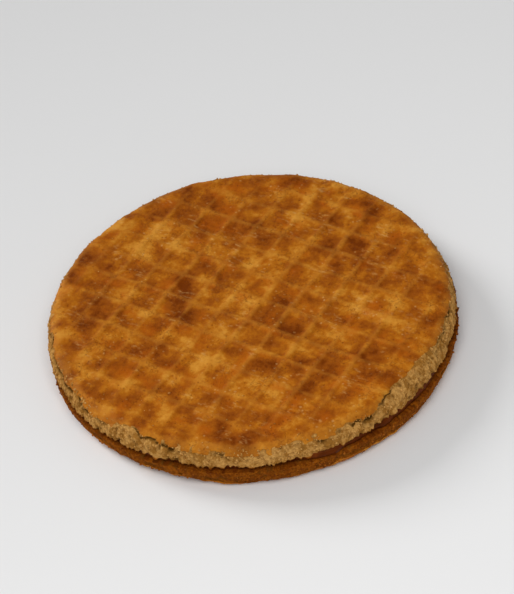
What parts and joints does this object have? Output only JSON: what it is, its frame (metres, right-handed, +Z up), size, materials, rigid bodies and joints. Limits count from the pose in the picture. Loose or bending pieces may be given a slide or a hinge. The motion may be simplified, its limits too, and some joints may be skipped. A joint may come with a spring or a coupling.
{
  "type": "stroopwafel",
  "caption": "Round thin baked waffle, split flat into an upper and a lower wafer with a layer of caramel between them; a fine square grid of ridges on both faces.",
  "frame": {"origin": "middle of the waffle, on the surface it lies on", "axes": "+Z up through the waffle's thickness; +X and +Y along the two directions of the ridge grid"},
  "size_m": [0.0826, 0.0822, 0.0093],
  "materials": {
    "baked_wafer": "baked wafer: golden brown skin with a slight sheen, paler on the ridges, and a pale straw-coloured open crumb on its cut side",
    "caramel": "glossy dark amber caramel"
  },
  "bodies": {
    "root": {"lower_wafer": "baked_wafer", "caramel_layer": "caramel", "upper_wafer": "baked_wafer"}
  },
  "joints": []
}
